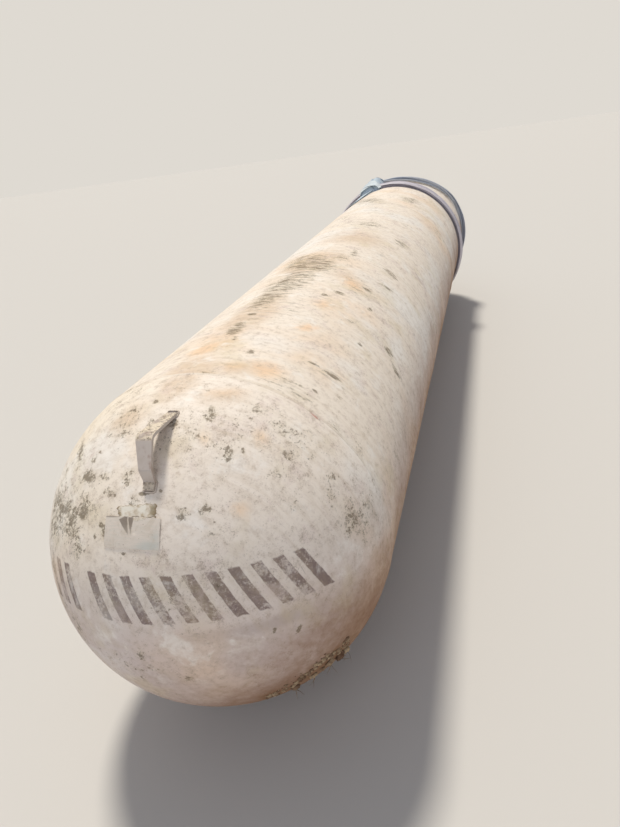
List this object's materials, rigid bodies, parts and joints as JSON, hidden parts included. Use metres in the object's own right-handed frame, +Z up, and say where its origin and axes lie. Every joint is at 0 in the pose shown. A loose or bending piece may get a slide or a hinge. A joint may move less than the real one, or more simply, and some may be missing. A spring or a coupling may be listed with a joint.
{
  "type": "horizontal pressure tank",
  "caption": "Horizontal gas storage tank with domed ends, rolled and welded shell, two welded saddles, lifting eyes and a webbing sling round its far end.",
  "frame": {"origin": "middle of the footprint, on the floor under the saddles", "axes": "+Y along the tank's axis towards the far head, +Z up, +X to the right seen from the near head"},
  "size_m": [1.1195, 5.38, 1.2107],
  "materials": {
    "head_paint": "weathered cream paint with mildew specks and dirt",
    "shell_paint": "weathered cream paint with streaks and rust stains",
    "weld_paint": "painted weld bead, rust at its toes",
    "wear_plate_paint": "painted plate stained with earth and rust",
    "saddle_steel": "rusty painted steel plate",
    "base_steel": "rusty steel plate, earth on its edges",
    "tab_steel": "bare steel with light rust",
    "lug_steel": "dirty painted bar, rust at the bends",
    "plate_metal": "dull stained metal",
    "flange_steel": "painted steel with rust",
    "gasket_rubber": "black fibre rubber",
    "coupling_steel": "painted forged steel with rust",
    "plug_iron": "dark rusty iron",
    "webbing_violet": "faded violet-grey woven webbing",
    "webbing_blue": "faded slate-blue woven webbing",
    "webbing_pale": "sun-bleached pale blue woven webbing"
  },
  "bodies": {
    "root": {"near_head": "head_paint", "far_head": "head_paint", "shell_course_near": "shell_paint", "shell_course_middle": "shell_paint", "shell_course_far": "shell_paint", "near_head_weld": "weld_paint", "far_head_weld": "weld_paint", "near_course_weld": "weld_paint", "far_course_weld": "weld_paint", "near_seam_weld": "weld_paint", "middle_seam_weld": "weld_paint", "far_seam_weld": "weld_paint", "near_saddle_wear_plate": "wear_plate_paint", "near_saddle_web": "saddle_steel", "near_saddle_ribs": "saddle_steel", "near_saddle_base": "base_steel", "far_saddle_wear_plate": "wear_plate_paint", "far_saddle_web": "saddle_steel", "far_saddle_ribs": "saddle_steel", "far_saddle_base": "base_steel", "earth_tab": "tab_steel", "near_lug": "lug_steel", "far_lug": "lug_steel", "data_plate": "plate_metal", "gauge_flange": "flange_steel", "gauge_gasket": "gasket_rubber", "gauge_cover": "flange_steel", "relief_coupling": "coupling_steel", "relief_plug": "plug_iron", "outlet_coupling": "coupling_steel", "outlet_plug": "plug_iron", "drain_coupling": "coupling_steel", "drain_plug": "plug_iron", "sling_inner_loop": "webbing_violet", "sling_outer_loop": "webbing_blue", "sling_knot": "webbing_pale", "sling_tail": "webbing_pale"}
  },
  "joints": []
}
